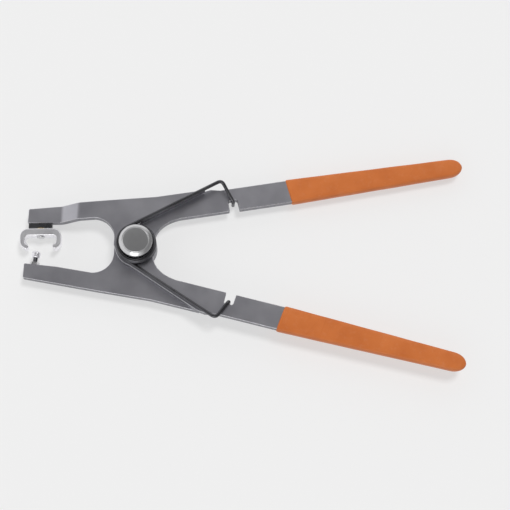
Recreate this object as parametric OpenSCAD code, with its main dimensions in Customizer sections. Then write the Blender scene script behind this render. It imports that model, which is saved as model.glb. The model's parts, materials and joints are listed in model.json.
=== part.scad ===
// Running pliers for glass: two flat steel levers that cross at a pivot, a torsion
// spring that spreads the handles, a swivelling two-footed head on one jaw and a
// single round anvil on the other. The origin is on the pivot axis, on the face of
// the pivot nut that rests on the bench. +X runs towards the handles, +Z is up.

/* [Levers] */
// Thickness of the steel plate
plate_t = 5; // [4:0.25:7]
// Distance from the pivot axis to the jaw tips
jaw_reach = 72.2; // [68:0.1:90]
// Length of each handle bar, from beside the pivot to its tail
handle_l = 219.4; // [170:0.1:270]
// Angle between each handle and the middle of the tool at rest
handle_angle = 11.75; // [9:0.05:14]
// Distance from the pivot axis to the middle line of a handle bar
handle_offset = 23.45; // [22:0.05:28]
// Width of a handle bar in front of the grip
bar_w = 15.3; // [13:0.1:19]
// Width of a handle bar at its tail, inside the grip
bar_tail_w = 10.4; // [8.7:0.1:13]
// Radius of the round hub of each lever
hub_r = 13.2; // [12:0.1:15]

/* [Jaws] */
// Half of the clear width between the jaws at the throat
throat_half_w = 17.8; // [15:0.1:22]
// Distance from the pivot axis to the end of the throat
throat_end = 14.8; // [14.6:0.1:20]
// Radius of the two corners of the throat
throat_r = 13.5; // [8:0.5:14.5]
// Depth of a jaw bar at the tip
jaw_tip_w = 9.8; // [8:0.1:14]
// Distance from the middle of the tool to the inner edge of a jaw at the tip
jaw_tip_gap = 13.6; // [11:0.1:16.5]
// Length of the straight end block of each jaw
jaw_block_l = 21; // [17:0.5:26]
// Length of the slope that brings the upper jaw down to the lower plate
joggle_l = 11; // [9:0.5:16]
// Distance from the pivot axis forward to the shoulder of a jaw
shoulder_back = 25.2; // [20:0.1:34]
// Distance from the middle of the tool to the outer edge at the shoulder
shoulder_half_w = 29.7; // [26:0.1:36]
// Distance from the pivot axis back to the waist, where jaw and handle meet
waist_back = 10.8; // [6:0.1:16]
// Distance from the middle of the tool to the outer edge at the waist
waist_half_w = 34.2; // [31:0.1:38]

/* [Pivot] */
// Diameter of the pivot bolt's shank
bolt_d = 12; // [8:0.5:14.5]
// Radial clearance of the shank in the levers and washers
pivot_clearance = 0.05; // [0.02:0.01:0.1]
// Diameter of the round bolt head
head_d = 21.4; // [18:0.1:26]
// Height of the round bolt head
head_h = 4.6; // [3:0.1:8]
// Width of the chamfer round the top of the bolt head
head_chamfer = 2.3; // [1:0.1:3]
// Width across the flats of the pivot nut
nut_af = 18; // [16:0.5:22]
// Height of the pivot nut
nut_h = 3.2; // [2.5:0.1:8]
// Thickness of the flat washer under the lower lever
nut_washer_t = 1; // [0.6:0.1:2]
// Diameter of the flat washer under the lower lever
nut_washer_d = 24; // [21:0.5:27]
// Thickness of the split lock washer above the nut
lock_washer_t = 0.8; // [0.6:0.1:2]
// Width of the split in the lock washer
lock_split = 1.2; // [0.6:0.1:2]
// Thickness of the thrust washer between the levers
thrust_washer_t = 0.5; // [0.3:0.1:1]
// Thickness of the thin washers at the two ends of the spring spool
spool_washer_t = 0.3; // [0.2:0.1:0.6]

/* [Spring] */
// Diameter of the spring wire
wire_d = 2.3; // [1.8:0.1:2.8]
// Radius of the coil, to the middle of the wire
coil_r = 11.9; // [11.5:0.1:15]
// Number of whole turns besides the wrap between the two arms
whole_turns = 2; // [1:1:3]
// Distance along the handle to the knee of each spring arm
knee_along = 61.6; // [58:0.1:64]
// How far the wire's middle stands out past the lower-jaw lever's edge at its knee
high_knee_out = 4.5; // [2:0.1:6]
// How far the wire's middle stands out past the upper-jaw lever's edge at its knee
low_knee_out = 3; // [0.5:0.1:6]
// Inside bend radius of the wire at the knees
bend_r = 2; // [1:0.1:3]
// Clearance of the spring from the pieces beside it
spring_gap = 0.3; // [0.15:0.05:0.6]

/* [Spring notches] */
// Distance along the handle to the middle of its notch
notch_along = 67.1; // [65.5:0.1:80]
// Width of a notch
notch_w = 6.2; // [5:0.1:9]
// Depth of a notch, from the inner edge of the handle
notch_depth = 7.1; // [6:0.1:8.6]
// Size of the bevel in the bottom corners of a notch
notch_bevel = 0.8; // [0.2:0.1:1.2]

/* [Grips] */
// Thickness of the dipped coating round the handle bar
coat_t = 1.0; // [0.8:0.1:2]
// Distance along the handles to the middle of the two dip lines
grip_start = 103.2; // [85:0.1:125]
// How much further along the lower-jaw lever its dip line lies
dip_difference = 3; // [0:0.1:6]
// How far the dip line slants across the bar
dip_slant = 1.8; // [0:0.1:4]
// Extra length of coating past the tail of the bar
grip_tail = 4.4; // [2:0.1:8]

/* [Swivel head] */
// Distance from the jaw tip back to the swivel axis
head_setback = 8.6; // [7:0.1:10]
// Overall width of the two-footed head
head_w = 26.8; // [24:0.5:33]
// Height of the head from its back to the soles of its feet
head_drop = 13.8; // [12:0.1:17.5]
// Thickness of the head's back
head_back_t = 4.8; // [3.5:0.1:5.4]
// Thickness of the head's legs and feet
leg_t = 3.4; // [2.5:0.1:4.2]
// Outer radius of the bends between the legs and the feet
foot_bend_r = 5.2; // [4.5:0.1:6]
// Width of the head measured across the plane of the tool
head_depth = 7; // [6:0.1:9]
// Clear gap between the tips of the feet
feet_gap = 15.4; // [13:0.1:17]
// Thickness of the bearing seat between the jaw and the head
seat_t = 3.4; // [2:0.1:4]
// Length of the bearing seat along the jaw
seat_l = 15.4; // [14:0.1:19]
// Width of the bearing seat across the plane of the tool
seat_w = 4; // [3.5:0.1:6]
// Diameter of the swivel pin
swivel_pin_d = 3; // [2:0.1:3.3]
// How deep the swivel pin is pressed into the jaw
pin_depth = 6.5; // [5:0.1:7.5]
// Thickness of the brass washer between the seat and the head
swivel_washer_t = 0.4; // [0.3:0.1:0.8]

/* [Anvil] */
// Distance from the jaw tip back to the anvil
anvil_setback = 6.6; // [5.5:0.1:8]
// Diameter of the round anvil tip
anvil_d = 5.8; // [4.5:0.1:7]
// Height of the anvil's crown above the jaw's inner edge
anvil_h = 9.4; // [8:0.1:10.4]
// Length of the round anvil tip
anvil_tip_l = 4.6; // [4:0.1:5]
// Diameter of the anvil's stud
stud_d = 3; // [2:0.1:3.3]
// How deep the stud is screwed into the jaw
stud_depth = 7; // [5:0.1:7.5]
// Width across the flats of the anvil's lock nut
anvil_nut_af = 5.5; // [5:0.1:7]
// Height of the anvil's lock nut
anvil_nut_h = 1.8; // [1.2:0.1:2]

/* [Hidden] */
$fn = 96;

steel = [0.46, 0.46, 0.49];
bright_steel = [0.68, 0.68, 0.71];
wire_steel = [0.36, 0.36, 0.38];
brass = [0.72, 0.58, 0.32];
orange = [0.80, 0.44, 0.20];

// Heights of the stack on the pivot, from the bench upwards.
wire_r = wire_d / 2;
lower_z = nut_h + lock_washer_t + nut_washer_t;
lower_top = lower_z + plate_t;
upper_z = lower_top + thrust_washer_t;
upper_top = upper_z + plate_t;
jaw_mid_z = lower_z + plate_t / 2;
spool_z = upper_top + spool_washer_t;

// Radii round the pivot.
shank_r = bolt_d / 2;
bore_r = shank_r + pivot_clearance;
spool_r = coil_r - wire_r - 2 * spring_gap;
thrust_washer_r = hub_r - 0.8;
lock_washer_r = nut_af / 2 - 0.2;

function at_angle(a) = [cos(a), sin(a)];
function flip(p) = [p[0], -p[1]];
function between(a, b, t) = a + (b - a) * t;
function unit(v) = v / norm(v);
function arc(centre, r, from, to, steps = 12) =
    [for (i = [0 : steps]) centre + r * at_angle(between(from, to, i / steps))];
// Points of a curve that leaves a for pull and arrives at b, without a itself.
function sweep_curve(a, pull, b, steps = 8) =
    [for (i = [1 : steps]) let (t = i / steps)
        (1 - t) * (1 - t) * a + 2 * t * (1 - t) * pull + t * t * b];

// A point on the handle of the upper-jaw lever, which runs to -Y: a distance along
// the handle, and a distance out from its middle line towards the outside.
function on_handle(along, out) =
    along * [cos(handle_angle), -sin(handle_angle)]
    - (handle_offset + out) * [sin(handle_angle), cos(handle_angle)];
function half_bar(along) =
    along < grip_start ? bar_w / 2
    : between(bar_w, bar_tail_w, (along - grip_start) / (handle_l - grip_start)) / 2;

// Corner points of a lever: the jaw block, the wing beside the hub, the line along
// which one lever laps the other, and the slight swell of the bar beside that line.
block_slope = 3.6;
block_end = jaw_block_l - jaw_reach;
function jaw_edge(back) = jaw_tip_gap + back * tan(block_slope);
tip_corner = 0.6;
shoulder = [-shoulder_back, shoulder_half_w];
waist = [waist_back, waist_half_w];
wing_along = 50;
wing_end = flip(on_handle(wing_along, bar_w / 2));
swell = 1.4;
swell_along = [48.4, 54, 60];
lap_end = on_handle(swell_along[0], (bar_w + swell) / 2);
wing_foot_angle = 95;
wing_foot_out = 1.2;
wing_foot_r = 5;
wing_foot_turn = 20;
root_angle = -33;
root_along = 30.8;
root_pull = [2, 4.2];
throat_side = [-throat_end - throat_r, throat_half_w - throat_r];
lap_r = throat_end - 0.9;
lap_angles = [-106, -168];

// The straight edge of the wing, from its far end back to a rounded corner at the hub.
function wing_edge() =
    let (foot = (hub_r + wing_foot_out) * at_angle(wing_foot_angle),
         start = foot + unit(wing_end - foot) * wing_foot_r)
    concat([start],
           sweep_curve(start, foot, hub_r * at_angle(wing_foot_angle - wing_foot_turn), 6));

// The hollow corner where the inner edge of the handle leaves the hub.
function handle_root() =
    let (hub_point = hub_r * at_angle(root_angle), bar_point = on_handle(root_along, -bar_w / 2))
    sweep_curve(hub_point, [hub_point[0], bar_point[1]] + root_pull, bar_point, 8);

// The round tail of a handle, at a distance outside the bar and with extra length.
function tail(outside, extra, steps = 12) =
    let (r = half_bar(handle_l), middle = handle_l - r)
    [for (i = [0 : steps]) let (a = between(-90, 90, i / steps))
        on_handle(middle + (r + extra) * cos(a), (r + outside) * sin(a))];

// Outline of the lever that carries the upper jaw.
module lever_outline() {
    polygon(concat(
        [[-jaw_reach, jaw_tip_gap + tip_corner],
         [-jaw_reach, jaw_tip_gap + jaw_tip_w - tip_corner],
         [tip_corner - jaw_reach, jaw_tip_gap + jaw_tip_w],
         shoulder,
         waist,
         wing_end],
        wing_edge(),
        arc([0, 0], hub_r, wing_foot_angle - wing_foot_turn, root_angle, 18),
        handle_root(),
        [on_handle(grip_start, -bar_w / 2)],
        tail(0, 0),
        [on_handle(grip_start, bar_w / 2),
         on_handle(swell_along[2], bar_w / 2),
         on_handle(swell_along[1], bar_w / 2 + swell),
         lap_end],
        arc([0, 0], lap_r, lap_angles[0], lap_angles[1]),
        [[-throat_end, 0]],
        arc(throat_side, throat_r, 0, 90, 18),
        [[block_end, jaw_edge(jaw_block_l)],
         [tip_corner - jaw_reach, jaw_edge(tip_corner)]]));
}

// The notch that holds the hook of the spring, open to the inner edge.
module notch_outline() {
    inner = -bar_w / 2;
    half = notch_w / 2;
    mouth_flare = 0.6;
    polygon([on_handle(notch_along - half, inner - 3),
             on_handle(notch_along - half, inner + notch_depth - notch_bevel),
             on_handle(notch_along - half + notch_bevel, inner + notch_depth),
             on_handle(notch_along + half - notch_bevel, inner + notch_depth),
             on_handle(notch_along + half, inner + notch_depth - notch_bevel),
             on_handle(notch_along + half + mouth_flare, inner - 3)]);
}

module lever_face() {
    difference() {
        lever_outline();
        notch_outline();
    }
}

// Side view of the upper lever: level at the hub, sloped at the joggle, and level
// again at the jaw, in the plane of the lower lever.
module joggle_profile() {
    low = block_end + 2;
    high = low + joggle_l;
    shift = plate_t * tan(atan((plate_t + thrust_washer_t) / joggle_l) / 2);
    front = -jaw_reach - 5;
    back = handle_l + 20;
    polygon([[front, lower_z], [low, lower_z], [high, upper_z], [back, upper_z],
             [back, upper_top], [high - shift, upper_top], [low - shift, lower_top],
             [front, lower_top]]);
}

module pivot_bore(z, h) {
    translate([0, 0, z - 1]) cylinder(r = bore_r, h = h + 2);
}

module washer(z, r, t, hole_r = bore_r) {
    translate([0, 0, z]) difference() {
        cylinder(r = r, h = t);
        translate([0, 0, -1]) cylinder(r = hole_r, h = t + 2);
    }
}

// Rotates the head's own axes into place: y points into the jaw, and the origin is
// on the jaw's inner edge at the swivel axis.
module at_swivel() {
    translate([head_setback - jaw_reach, jaw_edge(head_setback), jaw_mid_z])
        rotate([0, 0, block_slope]) children();
}

// The same for the anvil: y points from the jaw towards the head.
module at_anvil() {
    translate([anvil_setback - jaw_reach, -jaw_edge(anvil_setback), jaw_mid_z])
        rotate([0, 0, -block_slope]) children();
}

// A cylinder along y, from y upwards.
module along_y(y, r, h) {
    translate([0, y, 0]) rotate([-90, 0, 0]) cylinder(r = r, h = h, $fn = 48);
}

module upper_jaw_lever() {
    color(steel)
    difference() {
        intersection() {
            linear_extrude(upper_top + 1) lever_face();
            translate([0, 100, 0]) rotate([90, 0, 0]) linear_extrude(300) joggle_profile();
        }
        pivot_bore(upper_z, plate_t);
        at_swivel() along_y(-1, swivel_pin_d / 2, pin_depth + 1);
    }
}

module lower_jaw_lever() {
    color(steel)
    difference() {
        translate([0, 0, lower_z]) linear_extrude(plate_t) mirror([0, 1]) lever_face();
        pivot_bore(lower_z, plate_t);
        at_anvil() along_y(-stud_depth, stud_d / 2, stud_depth + 1);
    }
}

// The dipped coating: a sleeve over the bar, closed past its tail.
module grip(z, start) {
    half = bar_w / 2;
    translate([0, 0, z]) difference() {
        translate([0, 0, -coat_t]) linear_extrude(plate_t + 2 * coat_t)
            polygon(concat([on_handle(start + dip_slant / 2, -half - coat_t)],
                           tail(coat_t, grip_tail),
                           [on_handle(start - dip_slant / 2, half + coat_t)]));
        linear_extrude(plate_t) lever_outline();
    }
}

module upper_jaw_grip() {
    color(orange) grip(upper_z, grip_start - dip_difference / 2);
}

module lower_jaw_grip() {
    color(orange) mirror([0, 1, 0]) grip(lower_z, grip_start + dip_difference / 2);
}

// Number of turns of wire in the coil, and the angles where the arms touch it.
low_knee_point = on_handle(knee_along, bar_w / 2 + low_knee_out);
high_knee_point = flip(on_handle(knee_along, bar_w / 2 + high_knee_out));
hook_gap = 0.4;
hook = on_handle(notch_along, notch_depth - bar_w / 2 - wire_r - hook_gap);
function reach_angle(p) = abs(atan2(p[1], p[0])) + 90 - asin(coil_r / norm(p));
low_touch_angle = -reach_angle(low_knee_point);
high_touch_angle = reach_angle(high_knee_point);
wrap = 360 + low_touch_angle - high_touch_angle + 360 * whole_turns;
pitch = wire_d + 0.08;
low_turn_z = upper_top + spring_gap + wire_r;
high_turn_z = low_turn_z + pitch * wrap / 360;
spool_top = high_turn_z + wire_r + spring_gap;
head_z = spool_top + spool_washer_t;

function lift(p, z) = [p[0], p[1], z];
// Rounds the corner at b of a path from a to c.
function bend(a, b, c, r = bend_r + wire_r, steps = 5) =
    let (from = b + unit(a - b) * r, to = b + unit(c - b) * r)
    concat([from], sweep_curve(from, b, to, steps));

// Middle line of the wire, from the hook in the upper-jaw lever's handle, over the
// coil, to the hook in the lower-jaw lever's handle.
low_face_z = lower_top + spring_gap + wire_r;
knee_rise = 1;
knee_z = upper_top + knee_rise;
low_hook = lift(hook, low_turn_z);
low_knee = lift(low_knee_point, low_turn_z);
low_touch = lift(coil_r * at_angle(low_touch_angle), low_turn_z);
high_hook = lift(flip(hook), low_face_z);
high_knee = lift(high_knee_point, knee_z);
high_touch = lift(coil_r * at_angle(high_touch_angle), high_turn_z);
hook_end = 1;
coil_step_angle = 13;
coil_steps = ceil(wrap / coil_step_angle);
wire_path = concat(
    [lift(hook, upper_z - hook_end)],
    bend(lift(hook, upper_z - hook_end), low_hook, low_knee, wire_d),
    bend(low_hook, low_knee, low_touch),
    [between(low_knee, low_touch, 0.5)],
    [for (i = [0 : coil_steps]) let (t = i / coil_steps)
        lift(coil_r * at_angle(low_touch_angle - wrap * t), between(low_turn_z, high_turn_z, t))],
    [between(high_touch, high_knee, 0.5)],
    bend(high_touch, high_knee, high_hook),
    bend(high_knee, high_hook, lift(flip(hook), lower_z - hook_end), wire_d),
    [lift(flip(hook), lower_z - hook_end)]);

// A round wire along a path of points.
module wire(path, r, sides = 10) {
    last = len(path) - 1;
    along = [for (i = [0 : last]) unit(path[min(i + 1, last)] - path[max(i - 1, 0)])];
    across = [for (i = 0, u = unit(cross(along[0], [1, 0.3, 0])); i <= last;
                   i = i + 1, u = i > last ? u : unit(u - (u * along[i]) * along[i])) u];
    rings = [for (i = [0 : last]) for (k = [0 : sides - 1]) let (a = 360 * k / sides)
        path[i] + r * (cos(a) * across[i] + sin(a) * cross(along[i], across[i]))];
    skin = [for (i = [0 : last - 1]) for (k = [0 : sides - 1]) let (n = (k + 1) % sides)
        [i * sides + k, (i + 1) * sides + k, (i + 1) * sides + n, i * sides + n]];
    polyhedron(rings, concat(
        [[for (k = [0 : sides - 1]) k]],
        skin,
        [[for (k = [sides - 1 : -1 : 0]) last * sides + k]]));
}

module torsion_spring() {
    color(wire_steel) wire(wire_path, wire_r);
}

module pivot_bolt() {
    head_r = head_d / 2;
    chamfer_angle = 36;
    color(bright_steel)
    rotate_extrude()
        polygon([[0, 0], [shank_r, 0], [shank_r, head_z], [head_r, head_z],
                 [head_r, head_z + head_h - head_chamfer * tan(chamfer_angle)],
                 [head_r - head_chamfer, head_z + head_h], [0, head_z + head_h]]);
}

module pivot_nut() {
    color(bright_steel)
    difference() {
        cylinder(d = nut_af / cos(30), h = nut_h, $fn = 6);
        translate([0, 0, -1]) cylinder(r = shank_r, h = nut_h + 2);
    }
}

module lock_washer() {
    color(steel)
    difference() {
        washer(nut_h, lock_washer_r, lock_washer_t);
        translate([0, -lock_split / 2, nut_h - 1]) cube([nut_af, lock_split, lock_washer_t + 2]);
    }
}

module nut_washer() {
    color(bright_steel) washer(nut_h + lock_washer_t, nut_washer_d / 2, nut_washer_t);
}

module thrust_washer() {
    color(brass) washer(lower_top, thrust_washer_r, thrust_washer_t);
}

module spool_washer() {
    color(brass) washer(upper_top, spool_r, spool_washer_t);
}

module spring_spool() {
    color(bright_steel) washer(spool_z, spool_r, spool_top - spool_z);
}

module head_washer() {
    color(brass) washer(spool_top, spool_r, spool_washer_t);
}

// The bearing seat along the jaw's end block, with the pin through it.
module swivel_seat() {
    color(bright_steel)
    at_swivel() difference() {
        translate([tip_corner - head_setback, -seat_t, -seat_w / 2])
            cube([seat_l, seat_t, seat_w]);
        along_y(-seat_t - 1, swivel_pin_d / 2, seat_t + 2);
    }
}

// Levels down from the jaw's edge to the back of the head and the pin's head.
swivel_play = 0.05;
swivel_bore_r = swivel_pin_d / 2 + swivel_play;
head_back = seat_t + swivel_washer_t + 2 * swivel_play;
pin_head_y = head_back + head_back_t + swivel_play;
pin_head_r = swivel_pin_d / 2 + 1.1;
pin_head_t = 1.2;

module rounded(w, h, r) {
    for (x = [r - w / 2, w / 2 - r]) {
        for (y = [r - h, -r]) translate([x, y]) circle(r = r, $fn = 48);
    }
    translate([-w / 2, r - h]) square([w, h - 2 * r]);
    translate([r - w / 2, -h]) square([w - 2 * r, h]);
}

// The head is a C: a back, two legs and two feet that turn in.
module head_outline() {
    difference() {
        rounded(head_w, head_drop, foot_bend_r);
        translate([0, -head_back_t])
            rounded(head_w - 2 * leg_t, head_drop - head_back_t - leg_t, foot_bend_r - leg_t);
        translate([-feet_gap / 2 - leg_t / 2, -head_drop - 1])
            square([feet_gap + leg_t, head_drop - head_back_t - leg_t]);
    }
    for (side = [-1, 1]) {
        translate([side * (feet_gap + leg_t) / 2, leg_t / 2 - head_drop])
            circle(d = leg_t, $fn = 48);
    }
}

module swivel_head() {
    color(bright_steel)
    at_swivel() difference() {
        translate([0, -head_back, -head_depth / 2]) linear_extrude(head_depth) head_outline();
        along_y(-head_back - head_back_t - 1, swivel_bore_r, head_back_t + 2);
    }
}

module swivel_pin() {
    color(steel)
    at_swivel() {
        along_y(-pin_head_y, swivel_pin_d / 2, pin_head_y + pin_depth);
        along_y(-pin_head_y - pin_head_t, pin_head_r, pin_head_t);
    }
}

module swivel_washer() {
    color(brass)
    at_swivel() translate([0, -seat_t - swivel_play, 0]) difference() {
        along_y(-swivel_washer_t, seat_w / 2 + 1, swivel_washer_t);
        along_y(-swivel_washer_t - 1, swivel_bore_r, swivel_washer_t + 2);
    }
}

socket_depth = 2.4;

module anvil_stud() {
    color(steel)
    at_anvil() along_y(-stud_depth, stud_d / 2, stud_depth + anvil_h - anvil_tip_l + socket_depth);
}

module anvil_lock_nut() {
    color(bright_steel)
    at_anvil() rotate([-90, 0, 0]) difference() {
        cylinder(d = anvil_nut_af / cos(30), h = anvil_nut_h, $fn = 6);
        translate([0, 0, -1]) cylinder(d = stud_d, h = anvil_nut_h + 2, $fn = 48);
    }
}

// The round-crowned tip that presses on the glass.
module anvil_tip() {
    r = anvil_d / 2;
    foot = anvil_h - anvil_tip_l;
    crown = 1.6;
    edge = 0.5;
    color(bright_steel)
    at_anvil() rotate([-90, 0, 0]) rotate_extrude($fn = 64)
        polygon(concat(
            [[0, foot + socket_depth], [stud_d / 2, foot + socket_depth], [stud_d / 2, foot],
             [r - edge, foot], [r, foot + edge]],
            [for (i = [0 : 8]) let (a = 90 * i / 8)
                [r * cos(a), anvil_h - crown + crown * sin(a)]]));
}

lower_jaw_lever();
upper_jaw_lever();
lower_jaw_grip();
upper_jaw_grip();
pivot_bolt();
pivot_nut();
lock_washer();
nut_washer();
thrust_washer();
spool_washer();
spring_spool();
head_washer();
torsion_spring();
swivel_seat();
swivel_head();
swivel_pin();
swivel_washer();
anvil_stud();
anvil_lock_nut();
anvil_tip();
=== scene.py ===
import json
import math

import bmesh
import bpy
from mathutils import Matrix, Vector, noise

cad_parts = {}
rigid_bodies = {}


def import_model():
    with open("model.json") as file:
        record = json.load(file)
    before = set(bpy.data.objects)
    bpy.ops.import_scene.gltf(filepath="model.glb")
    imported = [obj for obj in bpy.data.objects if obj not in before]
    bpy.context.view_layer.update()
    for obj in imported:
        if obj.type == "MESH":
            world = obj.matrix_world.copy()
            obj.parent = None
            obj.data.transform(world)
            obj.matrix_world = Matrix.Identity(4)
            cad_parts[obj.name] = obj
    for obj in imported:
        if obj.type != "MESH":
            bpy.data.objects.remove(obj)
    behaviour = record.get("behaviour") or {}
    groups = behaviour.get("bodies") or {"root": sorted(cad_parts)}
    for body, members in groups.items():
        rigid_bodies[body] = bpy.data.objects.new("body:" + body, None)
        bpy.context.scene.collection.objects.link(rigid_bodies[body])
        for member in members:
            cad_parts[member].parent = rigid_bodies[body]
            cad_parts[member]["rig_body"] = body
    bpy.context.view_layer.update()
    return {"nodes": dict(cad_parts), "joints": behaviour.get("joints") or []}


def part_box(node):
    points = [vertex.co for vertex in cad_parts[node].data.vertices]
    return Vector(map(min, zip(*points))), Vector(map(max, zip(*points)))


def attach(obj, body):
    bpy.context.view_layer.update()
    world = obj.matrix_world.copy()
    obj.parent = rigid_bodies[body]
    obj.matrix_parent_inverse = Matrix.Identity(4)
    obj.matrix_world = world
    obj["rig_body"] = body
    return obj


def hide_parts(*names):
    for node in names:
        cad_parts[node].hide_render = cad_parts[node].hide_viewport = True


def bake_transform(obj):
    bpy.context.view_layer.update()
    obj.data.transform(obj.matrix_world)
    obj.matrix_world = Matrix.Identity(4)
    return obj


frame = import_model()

# Sizes below are in millimetres, and become metres as each mesh is made.
mm = 0.001


# ---- Bench, sky, lamp and camera ------------------------------------------------
# A plain pale bench under a soft sky, dimmer overhead and to the right. A key lamp that
# metal doesn't mirror casts the shadows, and two more lamps are there only for glints.

def tree_of(owner):
    owner.use_nodes = True
    owner.node_tree.nodes.clear()
    return owner.node_tree


def add(tree, kind, **values):
    """A new node. Each value is linked or set on the input or setting of that name."""
    node = tree.nodes.new(kind)
    for name, value in values.items():
        socket = node.inputs.get(name.replace("_", " "))
        if socket is None:
            setattr(node, name, value)
        elif isinstance(value, bpy.types.NodeSocket):
            tree.links.new(value, socket)
        else:
            socket.default_value = value
    return node


def ramp(tree, factor, *stops):
    """A colour ramp through stops of (position, grey or colour)."""
    node = add(tree, "ShaderNodeValToRGB", Fac=factor)
    elements = node.color_ramp.elements
    while len(elements) < len(stops):
        elements.new(0.5)
    for element, (position, tone) in zip(elements, stops):
        element.position = position
        element.color = (tone, tone, tone, 1) if isinstance(tone, float) else (*tone, 1)
    return node.outputs["Color"]


def math_of(tree, operation, *values):
    node = add(tree, "ShaderNodeMath", operation=operation)
    for socket, value in zip(node.inputs, values):
        if isinstance(value, bpy.types.NodeSocket):
            tree.links.new(value, socket)
        else:
            socket.default_value = value
    return node.outputs[0]


scene = bpy.context.scene
scene.view_settings.view_transform = "Standard"

sky = bpy.data.worlds.new("soft_sky")
scene.world = sky
tree = tree_of(sky)
direction = add(tree, "ShaderNodeTexCoord").outputs["Generated"]
parts = add(tree, "ShaderNodeSeparateXYZ", Vector=direction).outputs
glow = ramp(tree, parts["Z"], (0.0, 1.0), (0.6, 0.95), (0.82, 0.42), (0.94, 0.25), (1.0, 0.25))
sideways = math_of(tree, "MULTIPLY_ADD", parts["X"], 0.5, 0.5)
shade = ramp(tree, sideways, (0.1, 0.9), (0.4, 1.0), (0.64, 0.9), (0.85, 0.3), (1.0, 0.3))
glow = math_of(tree, "MULTIPLY", glow, shade)
light = add(tree, "ShaderNodeBackground", Color=glow, Strength=1.0)
add(tree, "ShaderNodeOutputWorld", Surface=light.outputs[0])

for name, energy, width, comes_from, is_key in (
        ("key_lamp", 1.5, 16, (0.22, 0.27, 0.94), True),
        ("side_glint_lamp", 0.25, 30, (0.42, 0.55, 0.8), False),
        ("front_glint_lamp", 0.43, 34, (-0.08, -0.81, 0.58), False)):
    lamp = bpy.data.lights.new(name, "SUN")
    lamp.energy = energy
    lamp.angle = math.radians(width)
    lamp_object = bpy.data.objects.new(name, lamp)
    lamp_object.rotation_mode = "QUATERNION"
    lamp_object.rotation_quaternion = Vector(comes_from).to_track_quat("Z", "Y")
    lamp_object.visible_glossy = not is_key
    lamp_object.visible_diffuse = is_key
    scene.collection.objects.link(lamp_object)

bench_half = 3000 * mm
bench_mesh = bpy.data.meshes.new("bench")
bench_mesh.from_pydata(
    [(x * bench_half, y * bench_half, 0) for x, y in ((-1, -1), (1, -1), (1, 1), (-1, 1))],
    [], [(0, 1, 2, 3)])
bench = bpy.data.objects.new("bench", bench_mesh)
scene.collection.objects.link(bench)
bench_paint = bpy.data.materials.new("pale_bench")
tree = tree_of(bench_paint)
matt = add(tree, "ShaderNodeBsdfPrincipled", Base_Color=(0.36, 0.36, 0.36, 1), Roughness=0.9,
           Emission_Color=(1, 1, 1, 1), Emission_Strength=0.52)
matt.inputs["Specular IOR Level"].default_value = 0.1
add(tree, "ShaderNodeOutputMaterial", Surface=matt.outputs[0])
bench_mesh.materials.append(bench_paint)

look_at = Vector((77.1, -0.9, 10)) * mm
camera_distance = 800 * mm
camera_lens, camera_sensor = 86.45, 36
camera_height, camera_turn, camera_roll = (math.radians(a) for a in (73.1, 5.43, 7.88))
ahead = Vector((math.sin(camera_turn) * math.cos(camera_height),
                math.cos(camera_turn) * math.cos(camera_height),
                -math.sin(camera_height)))
level = Vector((math.cos(camera_turn), -math.sin(camera_turn), 0))
upright = level.cross(ahead)
across = math.cos(camera_roll) * level + math.sin(camera_roll) * upright
above = math.cos(camera_roll) * upright - math.sin(camera_roll) * level
camera = bpy.data.objects.new("camera", bpy.data.cameras.new("camera"))
camera.data.sensor_width = camera_sensor
camera.data.lens = camera_lens
camera.matrix_world = Matrix.Translation(look_at - camera_distance * ahead) @ Matrix(
    (across, above, -ahead)).transposed().to_4x4()
scene.collection.objects.link(camera)
scene.camera = camera


# ---- The two levers -------------------------------------------------------------
# Each is one piece of 5 mm steel plate, cut to shape, bored and notched, tumbled until
# its edges are soft, and satin plated. The upper one is joggled down at its jaw.

def blend_of(tree, mask, first, second):
    """The first colour where the mask is 0 and the second where it is 1."""
    node = add(tree, "ShaderNodeMix", data_type="RGBA")
    for socket, value in zip((node.inputs[0], node.inputs[6], node.inputs[7]),
                             (mask, first, second)):
        if isinstance(value, bpy.types.NodeSocket):
            tree.links.new(value, socket)
        else:
            socket.default_value = value if isinstance(value, float) else (*value, 1)
    return node.outputs[2]


def new_group(name, inputs, outputs):
    """An empty shader group. Inputs are names with values, or with None for a vector."""
    group = bpy.data.node_groups.new(name, "ShaderNodeTree")
    for label, value in inputs.items():
        kind = "NodeSocketVector" if value is None else "NodeSocketFloat"
        socket = group.interface.new_socket(label, in_out="INPUT", socket_type=kind)
        if value is not None:
            socket.default_value = value
    for label in outputs:
        group.interface.new_socket(label, in_out="OUTPUT", socket_type="NodeSocketFloat")
    return group, add(group, "NodeGroupInput"), add(group, "NodeGroupOutput")


def stretched(tree, vector, stretch, turn=0.0):
    """Coordinates turned about Z, then squeezed along X so that a noise makes streaks."""
    turned_way = add(tree, "ShaderNodeMapping", vector_type="POINT", Vector=vector,
                     Rotation=(0, 0, turn))
    return add(tree, "ShaderNodeMapping", vector_type="POINT",
               Vector=turned_way.outputs[0], Scale=(1 / stretch, 1, 1)).outputs[0]


# Tumbled grain: a fine relief, and broad soft patches where the finish varies.
grain, given, made = new_group(
    "tumbled_grain", {"Vector": None, "Fine": 2600.0, "Broad": 55.0}, ("Relief", "Patches"))
fine = add(grain, "ShaderNodeTexNoise", Vector=given.outputs["Vector"],
           Scale=given.outputs["Fine"], Detail=4.0, Roughness=0.6)
broad = add(grain, "ShaderNodeTexNoise", Vector=given.outputs["Vector"],
            Scale=given.outputs["Broad"], Detail=3.0, Roughness=0.55)
grain.links.new(fine.outputs["Fac"], made.inputs["Relief"])
grain.links.new(ramp(grain, broad.outputs["Fac"], (0.32, 0.0), (0.7, 1.0)),
                made.inputs["Patches"])

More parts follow.
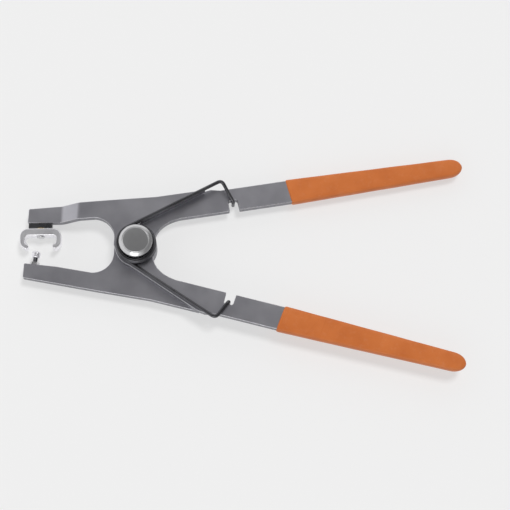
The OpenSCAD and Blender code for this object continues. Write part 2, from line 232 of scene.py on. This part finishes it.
# Handling scratches: thin streaks that run three ways.
scratches, given, made = new_group(
    "fine_scratches", {"Vector": None, "Scale": 900.0}, ("Mask",))
streaks = []
for turn in (0.35, -0.9, 1.9):
    way = stretched(scratches, given.outputs["Vector"], 28, turn)
    streak = add(scratches, "ShaderNodeTexNoise", Vector=way,
                 Scale=given.outputs["Scale"], Detail=1.0)
    streaks.append(ramp(scratches, streak.outputs["Fac"], (0.70, 0.0), (0.76, 1.0)))
any_way = math_of(scratches, "MAXIMUM", *streaks[:2])
any_way = math_of(scratches, "MAXIMUM", any_way, streaks[2])
scratches.links.new(any_way, made.inputs["Mask"])

# Edge wear: the softened edges, which carry the "edge" attribute, rubbed in places.
edge_wear, given, made = new_group(
    "edge_wear", {"Vector": None, "Scale": 420.0, "Least": 0.35}, ("Mask",))
marked = add(edge_wear, "ShaderNodeAttribute", attribute_name="edge").outputs["Fac"]
rubbed = add(edge_wear, "ShaderNodeTexNoise", Vector=given.outputs["Vector"],
             Scale=given.outputs["Scale"], Detail=3.0)
rubbed = ramp(edge_wear, rubbed.outputs["Fac"], (0.35, 0.0), (0.62, 1.0))
rubbed = math_of(edge_wear, "MAXIMUM", rubbed, given.outputs["Least"])
edge_wear.links.new(math_of(edge_wear, "MULTIPLY", marked, rubbed), made.inputs["Mask"])

# Cut sides: every steep face is made darker, with fine upright lines.
cut_sides, given, made = new_group("cut_sides", {"Vector": None, "Scale": 1400.0},
                                   ("Mask", "Lines"))
steep = add(cut_sides, "ShaderNodeSeparateXYZ",
            Vector=add(cut_sides, "ShaderNodeNewGeometry").outputs["True Normal"]).outputs["Z"]
steep = math_of(cut_sides, "ABSOLUTE", steep)
cut_sides.links.new(ramp(cut_sides, steep, (0.25, 1.0), (0.6, 0.0)), made.inputs["Mask"])
tall = add(cut_sides, "ShaderNodeMapping", Vector=given.outputs["Vector"],
           Scale=(1, 1, 0.04)).outputs[0]
lines = add(cut_sides, "ShaderNodeTexNoise", Vector=tall, Scale=given.outputs["Scale"],
            Detail=2.0)
cut_sides.links.new(lines.outputs["Fac"], made.inputs["Lines"])

# Dust: a thin, patchy film on what faces up.
dust, given, made = new_group("dust", {"Vector": None, "Scale": 160.0}, ("Mask",))
facing = add(dust, "ShaderNodeSeparateXYZ",
             Vector=add(dust, "ShaderNodeNewGeometry").outputs["Normal"]).outputs["Z"]
specks = add(dust, "ShaderNodeTexNoise", Vector=given.outputs["Vector"],
             Scale=given.outputs["Scale"], Detail=6.0, Roughness=0.75)
specks = ramp(dust, specks.outputs["Fac"], (0.52, 0.0), (0.78, 1.0))
upward = ramp(dust, facing, (0.4, 0.0), (0.95, 1.0))
dust.links.new(math_of(dust, "MULTIPLY", specks, upward), made.inputs["Mask"])


def effect(tree, group, vector, **values):
    """A group placed in a material, with the piece's own coordinates and values."""
    node = add(tree, "ShaderNodeGroup", node_tree=group)
    tree.links.new(vector, node.inputs["Vector"])
    for name, value in values.items():
        node.inputs[name].default_value = value
    return node.outputs


def metal(name, dark, bright, rough, patchy, scratched, relief, worn, cut=0.0):
    """A metal finish: two tones in patches, roughness, scratches, relief and wear. Cut is
    how much darker and rougher its upright sides are."""
    steep_side_tone, rubbed_tone, dust_tone = (0.1, 0.1, 0.11), (0.8, 0.8, 0.8), (0.6, 0.58, 0.55)
    material = bpy.data.materials.new(name)
    tree = tree_of(material)
    place = add(tree, "ShaderNodeTexCoord").outputs["Object"]
    tumbled = effect(tree, grain, place)
    marks = effect(tree, scratches, place)["Mask"]
    edges = effect(tree, edge_wear, place)["Mask"]
    film = effect(tree, dust, place)["Mask"]
    colour = blend_of(tree, tumbled["Patches"], dark, bright)
    # Every steep face is made darker and rougher here, by its steepness alone.
    if cut:
        sides = effect(tree, cut_sides, place)
        lined = math_of(tree, "MULTIPLY_ADD", sides["Lines"], 0.6, cut - 0.3)
        steep_side_share = math_of(tree, "MULTIPLY", sides["Mask"], lined)
        colour = blend_of(tree, steep_side_share, colour, steep_side_tone)
    colour = blend_of(tree, math_of(tree, "MULTIPLY", edges, worn), colour, rubbed_tone)
    colour = blend_of(tree, math_of(tree, "MULTIPLY", film, 0.1), colour, dust_tone)
    roughness = math_of(tree, "MULTIPLY_ADD", tumbled["Patches"], patchy, rough)
    roughness = math_of(tree, "MULTIPLY_ADD", marks, scratched, roughness)
    roughness = math_of(tree, "MULTIPLY_ADD", edges, -0.3 * rough, roughness)
    if cut:
        roughness = math_of(tree, "MULTIPLY_ADD", steep_side_share, 0.2, roughness)
    depth = math_of(tree, "MULTIPLY_ADD", marks, -scratched, tumbled["Relief"])
    bumps = add(tree, "ShaderNodeBump", Strength=relief, Distance=0.02 * mm, Height=depth)
    surface = add(tree, "ShaderNodeBsdfPrincipled", Base_Color=colour, Metallic=1.0,
                  Roughness=roughness, Normal=bumps.outputs[0])
    add(tree, "ShaderNodeOutputMaterial", Surface=surface.outputs[0])
    return material


plate_steel = metal("plate_steel", dark=(0.45, 0.445, 0.485), bright=(0.54, 0.535, 0.575),
                    rough=0.33, patchy=0.05, scratched=0.05, relief=0.4, worn=0.45, cut=0.6)


edge_turn = 38
bend_turn = 15


def shown(name, mesh, crease=edge_turn):
    """An object for a finished mesh, smooth except where it turns by more than crease."""
    mesh.polygons.foreach_set("use_smooth", [True] * len(mesh.polygons))
    mesh.set_sharp_from_angle(angle=math.radians(crease))
    piece = bpy.data.objects.new(name, mesh)
    scene.collection.objects.link(piece)
    return piece


def even_shading(piece):
    """Keeps the flats flat beside their softened edges."""
    weighted = piece.modifiers.new("even_shading", "WEIGHTED_NORMAL")
    weighted.keep_sharp = True
    weighted.weight = 100


def fitted(piece, node):
    """The piece stands for a CAD node, and rides on the body that the node is part of."""
    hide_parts(node)
    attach(piece, frame["nodes"][node]["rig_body"])


def softened(name, node, material, ease, steps=3, bend_ease=0.0):
    """A copy of a CAD node, with the bends in its plate and its edges rounded."""
    work = bmesh.new()
    work.from_mesh(frame["nodes"][node].data)
    bmesh.ops.remove_doubles(work, verts=work.verts, dist=0.001 * mm)
    bmesh.ops.dissolve_limit(work, angle_limit=math.radians(0.5), verts=work.verts,
                             edges=work.edges)
    if bend_ease:
        bends = [e for e in work.edges if e.is_manifold
                 and bend_turn < math.degrees(e.calc_face_angle()) < edge_turn
                 and all(abs(f.normal.z) > 0.5 for f in e.link_faces)]
        bmesh.ops.bevel(work, geom=bends, offset=bend_ease * mm, offset_type="OFFSET",
                        segments=6, profile=0.5, affect="EDGES")
    edge = work.loops.layers.float.new("edge")
    corners = [e for e in work.edges
               if e.is_manifold and math.degrees(e.calc_face_angle()) > edge_turn]
    rounded = bmesh.ops.bevel(work, geom=corners, offset=ease * mm, offset_type="OFFSET",
                              segments=steps, profile=0.5, affect="EDGES")
    for face in rounded["faces"]:
        for loop in face.loops:
            loop[edge] = 1.0
    mesh = bpy.data.meshes.new(name)
    work.to_mesh(mesh)
    work.free()
    mesh.materials.clear()
    mesh.materials.append(material)
    piece = shown(name, mesh)
    even_shading(piece)
    return piece


for lever in ("lower_jaw_lever", "upper_jaw_lever"):
    plate = softened(lever + "_plate", lever, plate_steel, ease=0.35, bend_ease=1.2)
    fitted(plate, lever)


# ---- Pivot bolt, spool and round washers ----------------------------------------
# All are turned. The bolt is bright steel with a ground face and a wide polished
# chamfer; the spool that carries the spring is steel, and the thin washers are brass.

def solid(name, points, faces, material, crease=edge_turn):
    """A closed mesh from points in millimetres, with its doubles merged."""
    work = bmesh.new()
    corners = [work.verts.new(Vector(p) * mm) for p in points]
    for face in faces:
        work.faces.new([corners[i] for i in face])
    bmesh.ops.remove_doubles(work, verts=work.verts, dist=0.0005 * mm)
    bmesh.ops.recalc_face_normals(work, faces=work.faces)
    mesh = bpy.data.meshes.new(name)
    work.to_mesh(mesh)
    work.free()
    mesh.materials.append(material)
    return shown(name, mesh, crease)


def skin(rows, around, closed_rows=False):
    """Faces that join rows of points, each row a closed ring."""
    last = rows if closed_rows else rows - 1
    return [(i * around + k, i * around + (k + 1) % around,
             (i + 1) % rows * around + (k + 1) % around, (i + 1) % rows * around + k)
            for i in range(last) for k in range(around)]


def eased(profile, ease, closed=False, steps=3):
    """A profile with its corners rounded, except those on the axis."""
    points = [Vector(p) for p in profile]
    rounded = []
    for i, here in enumerate(points):
        is_end = not closed and i in (0, len(points) - 1)
        if is_end or here.x == 0:
            rounded.append(here)
            continue
        back, on = points[i - 1] - here, points[(i + 1) % len(points)] - here
        cut = min(ease, 0.45 * back.length, 0.45 * on.length)
        start, end = here + back.normalized() * cut, here + on.normalized() * cut
        for s in range(steps + 1):
            t = s / steps
            rounded.append(start * (1 - t) ** 2 + 2 * here * t * (1 - t) + end * t * t)
    return rounded


def turned(name, profile, material, seat=Matrix.Identity(4), closed=False, around=120):
    """A lathe-turned piece. The profile holds (radius, height) pairs."""
    angles = [2 * math.pi * k / around for k in range(around)]
    points = [seat @ Vector((p[0] * math.cos(a), p[0] * math.sin(a), p[1]))
              for p in profile for a in angles]
    return solid(name, points, skin(len(profile), around, closed), material)


def ring(name, low, high, outer, bore, material, ease=0.12):
    profile = eased([(bore, low), (outer, low), (outer, high), (bore, high)], ease, True)
    return turned(name, profile, material, closed=True)


def heights(node):
    low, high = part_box(node)
    return low.z / mm, high.z / mm


def radius_of(node):
    low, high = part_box(node)
    return (high.x - low.x) / 2 / mm


bright_steel = metal("bright_steel", dark=(0.60, 0.60, 0.61), bright=(0.68, 0.68, 0.69),
                     rough=0.16, patchy=0.06, scratched=0.15, relief=0.35, worn=0.4)
brass = metal("brass_washer", dark=(0.62, 0.45, 0.20), bright=(0.75, 0.58, 0.30),
              rough=0.3, patchy=0.15, scratched=0.15, relief=0.4, worn=0.5)

shank = 6.0
bore = shank + 0.05
head_low = heights("head_washer")[1]
bolt_low, bolt_high = heights("pivot_bolt")
head_r = radius_of("pivot_bolt")
face_r = head_r - 2.3
chamfer_drop = 1.67
groove = 0.3
centre_mark, centre_depth = 1.1, 0.7
shank_chamfer = 0.5
rim_drop = 0.1
bolt_ease = 0.18
bolt_profile = eased([
    (0, bolt_low + centre_depth), (centre_mark, bolt_low), (shank - shank_chamfer, bolt_low),
    (shank, bolt_low + shank_chamfer), (shank, head_low), (head_r, head_low),
    (head_r, bolt_high - chamfer_drop), (face_r + groove, bolt_high - rim_drop),
    (face_r, bolt_high - groove), (face_r - groove, bolt_high), (0, bolt_high)], bolt_ease)
bolt = turned("pivot_bolt_turned", bolt_profile, bright_steel, around=160)
fitted(bolt, "pivot_bolt")

for node, material, slot in (("nut_washer", bright_steel, "bright_steel"),
                             ("thrust_washer", brass, "brass_washer"),
                             ("spool_washer", brass, "brass_washer"),
                             ("spring_spool", bright_steel, "bright_steel"),
                             ("head_washer", brass, "brass_washer")):
    low, high = heights(node)
    part = ring(node + "_turned", low, high, radius_of(node), bore, material)
    fitted(part, node)


# ---- Pivot nut and split lock washer --------------------------------------------
# A thin hexagon nut, chamfered on both faces, locks the bolt from below. The spring
# steel washer above it is cut across and bites as it flattens.

def hexagon_nut(name, low, high, flats, bore_r, material, seat=Matrix.Identity(4)):
    """A nut with its corners cut back by a turned chamfer, so its flats end in arcs."""
    around = 120
    crown = 0.95 * flats / 2
    slope = math.tan(math.radians(28))
    mouth = min(0.4, (high - low) / 6)
    points = []
    for row in range(8):
        for k in range(around):
            angle = 2 * math.pi * k / around
            off_flat = (angle % (math.pi / 3)) - math.pi / 6
            corner = flats / 2 / math.cos(off_flat)
            fall = max(0.05, (corner - crown) * slope)
            r, z = ((bore_r, low + mouth), (bore_r + mouth, low), (crown, low),
                    (corner, low + fall), (corner, high - fall), (crown, high),
                    (bore_r + mouth, high), (bore_r, high - mouth))[row]
            points.append(seat @ Vector((r * math.cos(angle), r * math.sin(angle), z)))
    return solid(name, points, skin(8, around, True), material, crease=24)


spring_steel = metal("spring_steel", dark=(0.09, 0.09, 0.097), bright=(0.14, 0.14, 0.15),
                     rough=0.24, patchy=0.1, scratched=0.08, relief=0.5, worn=0.5)

low, high = heights("pivot_nut")
nut_low, nut_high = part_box("pivot_nut")
nut_flats = (nut_high.y - nut_low.y) / mm
nut = hexagon_nut("pivot_nut_chamfered", low, high, nut_flats, shank, bright_steel)
fitted(nut, "pivot_nut")
split = softened("lock_washer_split", "lock_washer", spring_steel, ease=0.1, steps=2)
fitted(split, "lock_washer")


# ---- Torsion spring -------------------------------------------------------------
# One length of drawn spring wire: hooked down through the notch in each handle, bent
# at a knee, and wound clockwise round the spool between its two arms.

handle_angle = math.radians(11.75)
handle_offset = 23.45
bar_w = 15.3
bar_half = bar_w / 2


def on_handle(along, out, side):
    """A point of the handle on that side, -1 or 1: along it, and out from its middle."""
    c, s = math.cos(handle_angle), math.sin(handle_angle)
    reach = handle_offset + out
    return Vector((along * c - reach * s, side * (along * s + reach * c), 0))


wire_r = 1.15
coil_r = 11.9
coil_gap = 0.3
plate_top = heights("upper_jaw_lever")[1]
lower_top = heights("lower_jaw_lever")[1]
spring_low = heights("torsion_spring")[0]
low_turn = plate_top + coil_gap + wire_r
notch_depth, hook_play = 7.1, 0.4
hook_along, hook_out = 67.1, notch_depth - bar_half - wire_r - hook_play
knee_along, low_knee_out, high_knee_out = 61.6, 3.0, 4.5
high_knee_rise = 1
low_hook_foot = 9.5
whole_turns = 2
turn_gap = 0.08
turn_rise = 2 * wire_r + turn_gap


def touch_angle(knee):
    """How far round from +X the straight arm from a knee meets the coil."""
    return (abs(math.atan2(knee.y, knee.x)) + math.pi / 2
            - math.asin(coil_r / math.hypot(knee.x, knee.y)))


def at_height(point, z):
    return Vector((point.x, point.y, z))


def bent(before, corner, after, cut, steps=10):
    """The rounded way past a corner of the wire."""
    start = corner + (before - corner).normalized() * cut
    end = corner + (after - corner).normalized() * cut
    return [start * (1 - t) ** 2 + 2 * corner * t * (1 - t) + end * t * t
            for t in (s / steps for s in range(steps + 1))]


low_knee = at_height(on_handle(knee_along, bar_half + low_knee_out, -1), low_turn)
high_knee = at_height(on_handle(knee_along, bar_half + high_knee_out, 1),
                      plate_top + high_knee_rise)
first_angle = -touch_angle(low_knee)
last_angle = touch_angle(high_knee)
wrap = 2 * math.pi * (1 + whole_turns) + first_angle - last_angle
high_turn = low_turn + turn_rise * wrap / (2 * math.pi)
turn_steps = 150
coil = [Vector((coil_r * math.cos(a), coil_r * math.sin(a), z)) for a, z in
        ((first_angle - wrap * s / turn_steps,
          low_turn + (high_turn - low_turn) * s / turn_steps) for s in range(turn_steps + 1))]
low_hook = on_handle(hook_along, hook_out, -1)
high_hook = on_handle(hook_along, hook_out, 1)
low_hook_end = at_height(low_hook, low_hook_foot)
high_hook_end = at_height(high_hook, spring_low)
low_hook_top = at_height(low_hook, low_turn)
high_hook_top = at_height(high_hook, lower_top + coil_gap + wire_r)
knee_cut = 2 + wire_r
hook_cut = 2 * wire_r
route = [low_hook_end,
         *bent(low_hook_end, low_hook_top, low_knee, hook_cut),
         *bent(low_hook_top, low_knee, coil[0], knee_cut),
         *coil,
         *bent(coil[-1], high_knee, high_hook_top, knee_cut),
         *bent(high_knee, high_hook_top, high_hook_end, hook_cut),
         high_hook_end]

wire_tree = bpy.data.node_groups.new("drawn_wire", "GeometryNodeTree")
for label, kind in (("Route", "NodeSocketGeometry"), ("Radius", "NodeSocketFloat"),
                    ("Sides", "NodeSocketInt"), ("Finish", "NodeSocketMaterial")):
    wire_tree.interface.new_socket(label, in_out="INPUT", socket_type=kind)
wire_tree.interface.new_socket("Wire", in_out="OUTPUT", socket_type="NodeSocketGeometry")
given = add(wire_tree, "NodeGroupInput").outputs
line = add(wire_tree, "GeometryNodeMeshToCurve", Mesh=given["Route"])
section = add(wire_tree, "GeometryNodeCurvePrimitiveCircle", Resolution=given["Sides"],
              Radius=given["Radius"])
tube = add(wire_tree, "GeometryNodeCurveToMesh", Curve=line.outputs[0],
           Profile_Curve=section.outputs[0], Fill_Caps=True)
real = add(wire_tree, "GeometryNodeRealizeInstances", Geometry=tube.outputs[0])
dressed = add(wire_tree, "GeometryNodeSetMaterial", Geometry=real.outputs[0],
              Material=given["Finish"])
add(wire_tree, "NodeGroupOutput", Wire=dressed.outputs[0])


def along_route(name, points, radius, sides, material):
    """A plain wire mesh swept along points by the drawn_wire tree."""
    mesh = bpy.data.meshes.new(name)
    mesh.from_pydata([p * mm for p in points], [(i, i + 1) for i in range(len(points) - 1)], [])
    guide = bpy.data.objects.new(name + "_guide", mesh)
    scene.collection.objects.link(guide)
    modifier = guide.modifiers.new("drawn_wire", "NODES")
    modifier.node_group = wire_tree
    sockets = {s.name: s.identifier for s in wire_tree.interface.items_tree}
    modifier[sockets["Radius"]] = radius * mm
    modifier[sockets["Sides"]] = sides
    modifier[sockets["Finish"]] = material
    wanted = guide.evaluated_get(bpy.context.evaluated_depsgraph_get())
    swept = bpy.data.meshes.new_from_object(wanted)
    bpy.data.objects.remove(guide)
    swept.name = name
    return swept


wire_mesh = along_route("torsion_spring_wire", route, wire_r, 24, spring_steel)
spring = shown("torsion_spring_wire", wire_mesh, crease=50)
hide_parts("torsion_spring")
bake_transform(spring)


# ---- Dipped grips ---------------------------------------------------------------
# The tail of each handle is dipped in soft orange vinyl. The coat thins out to a
# rounded lip at the dip line, which slants a little, and runs thicker past the tail.

grip_start, dip_difference, dip_slant = 103.2, 3, 1.8
bar_tail_w, handle_length = 10.4, 219.4
bar_tail_half = bar_tail_w / 2
plate_half_t = 2.5
coat, grip_tail = 1.0, 4.3
tail_middle = handle_length - bar_tail_half
vinyl_around = 64


def half_bar(along):
    share = max(0.0, (along - grip_start) / (tail_middle - grip_start))
    return bar_half + (bar_tail_half - bar_half) * share


def rounded_section(half_w, half_t, corner, share):
    """A point on a rectangle with rounded corners: the share is how far round it is."""
    corner = min(corner, half_w, half_t)
    flat_w, flat_t = half_w - corner, half_t - corner
    angle = 2 * math.pi * share
    c, s = math.cos(angle), math.sin(angle)
    # Points crowd at the corners, where the surface turns.
    reach_w = flat_w * math.tanh(4 * c) / math.tanh(4) + corner * c
    reach_t = flat_t * math.tanh(4 * s) / math.tanh(4) + corner * s
    return reach_w, reach_t


def sleeve(side, start, z, thickness, tail_reach, corner, lip):
    """Rings of one skin of a grip, from the dip line to a pole past the tail."""
    rows = []
    main = tail_middle - start
    lip_steps = [lip * (1 - math.cos(math.pi / 2 * s / 8)) for s in range(8)]
    body_steps = [lip + (main - lip) * s / 44 for s in range(45)]
    tail_steps = [math.sin(math.pi / 2 * s / 14) for s in range(1, 15)]
    for t, u in [(t, 0) for t in lip_steps + body_steps] + [(main, u) for u in tail_steps]:
        rise = 1 if t >= lip else math.sqrt(max(0, 1 - (1 - t / lip) ** 2))
        shrink = math.sqrt(max(0, 1 - u * u))
        flatten = max(0, 1 - u ** 5) ** 0.4
        row = []
        for k in range(vinyl_around):
            share = k / vinyl_around
            ripple = noise.noise(Vector((t / 16 + 9 * side, 2.2 * math.cos(2 * math.pi * share),
                                         2.2 * math.sin(2 * math.pi * share))))
            depth = thickness * rise * (0.93 + 0.07 * ripple) if thickness > 0 else thickness
            half_w = (half_bar(start + t) + depth) * shrink
            half_t = (plate_half_t + depth) * flatten
            out, up = rounded_section(half_w, half_t, corner, share)
            ease_off = max(0, 1 - t / 25) ** 2
            along = start + t + tail_reach * u - dip_slant * out / bar_half / 2 * ease_off
            row.append(on_handle(along, out, side) + Vector((0, 0, z + up)))
        rows.append(row)
    return rows


def dipped_grip(name, side, start, z, material):
    """A sleeve: the outer skin, and the inner one that lies on the bar."""
    outer = sleeve(side, start, z, coat, bar_tail_half + grip_tail, 2.3, 1.5)
    inner = sleeve(side, start, z, -0.02, bar_tail_half, 0.5, 1.5)
    rows = outer[::-1] + inner
    points = [p for row in rows for p in row]
    return solid(name, points, skin(len(rows), vinyl_around), material, crease=60)


vinyl = bpy.data.materials.new("dipped_vinyl")
tree = tree_of(vinyl)
place = add(tree, "ShaderNodeTexCoord").outputs["Object"]
cloudy = add(tree, "ShaderNodeTexNoise", Vector=place, Scale=65.0, Detail=3.0)
cloudy = ramp(tree, cloudy.outputs["Fac"], (0.3, 0.0), (0.7, 1.0))
orange = blend_of(tree, cloudy, (0.545, 0.142, 0.03), (0.62, 0.176, 0.042))
film = effect(tree, dust, place, Scale=240.0)["Mask"]
orange = blend_of(tree, math_of(tree, "MULTIPLY", film, 0.12), orange, (0.75, 0.5, 0.35))
scuffs = effect(tree, scratches, place, Scale=500.0)["Mask"]
orange = blend_of(tree, math_of(tree, "MULTIPLY", scuffs, 0.1), orange, (0.4, 0.1, 0.03))
peel = add(tree, "ShaderNodeTexNoise", Vector=place, Scale=850.0, Detail=2.0)
depth = math_of(tree, "MULTIPLY_ADD", scuffs, -0.5, peel.outputs["Fac"])
bumps = add(tree, "ShaderNodeBump", Strength=0.35, Distance=0.05 * mm, Height=depth)
gloss = math_of(tree, "MULTIPLY_ADD", scuffs, 0.15, 0.48)
gloss = math_of(tree, "MULTIPLY_ADD", film, 0.25, gloss)
soft = add(tree, "ShaderNodeBsdfPrincipled", Base_Color=orange, Roughness=gloss,
           Normal=bumps.outputs[0])
soft.inputs["Specular IOR Level"].default_value = 0.35
add(tree, "ShaderNodeOutputMaterial", Surface=soft.outputs[0])

for node, side in (("upper_jaw_grip", -1), ("lower_jaw_grip", 1)):
    low, high = heights(node)
    start = grip_start + side * dip_difference / 2
    grip = dipped_grip(node + "_dip", side, start, (low + high) / 2, vinyl)
    fitted(grip, node)


# ---- Swivel head, its seat, pin and washer --------------------------------------
# The head is a bright forged C with two rounded feet that bear on the glass. It turns on
# a riveted pin, below a bearing seat on the upper jaw, with a brass washer between them.

def seat_on(origin, axis):
    """Stands a turned piece on an origin, in millimetres, with its axis that way."""
    return Matrix.Translation(origin) @ Vector(axis).to_track_quat("Z", "Y").to_matrix().to_4x4()


polished_steel = metal("polished_steel", dark=(0.90, 0.89, 0.93), bright=(0.96, 0.95, 0.98),
                       rough=0.3, patchy=0.08, scratched=0.1, relief=0.4, worn=0.3)

swivel = next(j for j in frame["joints"] if j["name"] == "head_swivel")
swivel_at = seat_on(Vector(swivel["pos_m"]) / mm, swivel["axis"])
head = softened("swivel_head_forged", "swivel_head", polished_steel, ease=0.75, steps=5)
fitted(head, "swivel_head")
bearing = softened("swivel_seat_ground", "swivel_seat", spring_steel, ease=0.25)
fitted(bearing, "swivel_seat")

pin_r, pin_head_r, pin_chamfer, pin_play = 1.5, 2.6, 0.25, 0.05
pin_in, rivet_low, rivet_t, rivet_rim = 6.5, -8.75, 1.2, 0.35
dome = [(pin_head_r * math.cos(a), rivet_low - rivet_rim - (rivet_t - rivet_rim) * math.sin(a))
        for a in (math.pi / 2 * s / 10 for s in range(10))]
pin_profile = [(0, pin_in), (pin_r - pin_chamfer, pin_in), (pin_r, pin_in - pin_chamfer),
               (pin_r, rivet_low), (pin_head_r, rivet_low), *dome, (0, rivet_low - rivet_t)]
pin = turned("swivel_pin_rivet", pin_profile, bright_steel, swivel_at, around=48)
fitted(pin, "swivel_pin")
washer_bore, washer_r = pin_r + pin_play, 3
washer_low, washer_high, washer_ease = -3.85, -3.45, 0.1
washer_profile = eased([(washer_bore, washer_low), (washer_r, washer_low),
                        (washer_r, washer_high), (washer_bore, washer_high)], washer_ease, True)
washer = turned("swivel_washer_turned", washer_profile, brass, swivel_at, closed=True,
                around=64)
fitted(washer, "swivel_washer")


# ---- Anvil stud, lock nut and tip -----------------------------------------------
# The lower jaw carries a screwed stud. Its round-crowned tip presses up under the
# score line, and the lock nut holds the height that it was set to.

def threaded(name, radius, pitch, low, high, material, seat):
    """A rod with a true screw thread, which fades out at both ends."""
    around, per_turn = 36, 8
    rows = int((high - low) / pitch * per_turn)
    groove = 0.3 * pitch
    points = [seat @ Vector((0, 0, low))] * around
    for i in range(rows + 1):
        z = low + (high - low) * i / rows
        fade = min(1, (z - low) / pitch, (high - z) / pitch)
        for k in range(around):
            phase = (z / pitch - k / around) % 1
            cut = groove * (1 - abs(2 * phase - 1)) * fade + 0.2 * (1 - fade)
            angle = 2 * math.pi * k / around
            points.append(seat @ Vector(((radius - cut) * math.cos(angle),
                                         (radius - cut) * math.sin(angle), z)))
    points += [seat @ Vector((0, 0, high))] * around
    return solid(name, points, skin(rows + 3, around), material)


stud_low, stud_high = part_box("anvil_stud")
anvil_axis = Vector((-swivel["axis"][0], swivel["axis"][1], 0))
stud_in, stud_out = 7.0, 7.2
stud_r, stud_pitch = 1.5, 0.5
lock_nut_t, lock_nut_flats = 1.8, 5.5
stud_middle = (stud_low + stud_high) / 2 / mm
anvil_at = seat_on(stud_middle - anvil_axis * (stud_out - stud_in) / 2, anvil_axis)
stud = threaded("anvil_stud_threaded", stud_r, stud_pitch, -stud_in, stud_out, spring_steel,
                anvil_at)
fitted(stud, "anvil_stud")
lock_nut = hexagon_nut("anvil_lock_nut_chamfered", 0, lock_nut_t, lock_nut_flats, stud_r,
                       bright_steel, anvil_at)
fitted(lock_nut, "anvil_lock_nut")

tip_r, tip_foot, crown_top, crown = 2.9, 4.8, 9.4, 1.6
tip_bore_depth, tip_chamfer = 2.4, 0.5
ring_low, ring_middle, ring_high, ring_depth = 1.1, 1.3, 1.5, 0.22
crown_arc = [(tip_r * math.cos(a), crown_top - crown + crown * math.sin(a))
             for a in (math.pi / 2 * s / 12 for s in range(13))]
tip_profile = [(0, tip_foot + tip_bore_depth), (stud_r, tip_foot + tip_bore_depth),
               (stud_r, tip_foot), (tip_r - tip_chamfer, tip_foot),
               (tip_r, tip_foot + tip_chamfer), (tip_r, tip_foot + ring_low),
               (tip_r - ring_depth, tip_foot + ring_middle), (tip_r, tip_foot + ring_high),
               *crown_arc[:-1], (0, crown_top)]
tip = turned("anvil_tip_turned", tip_profile, polished_steel, anvil_at, around=72)
fitted(tip, "anvil_tip")
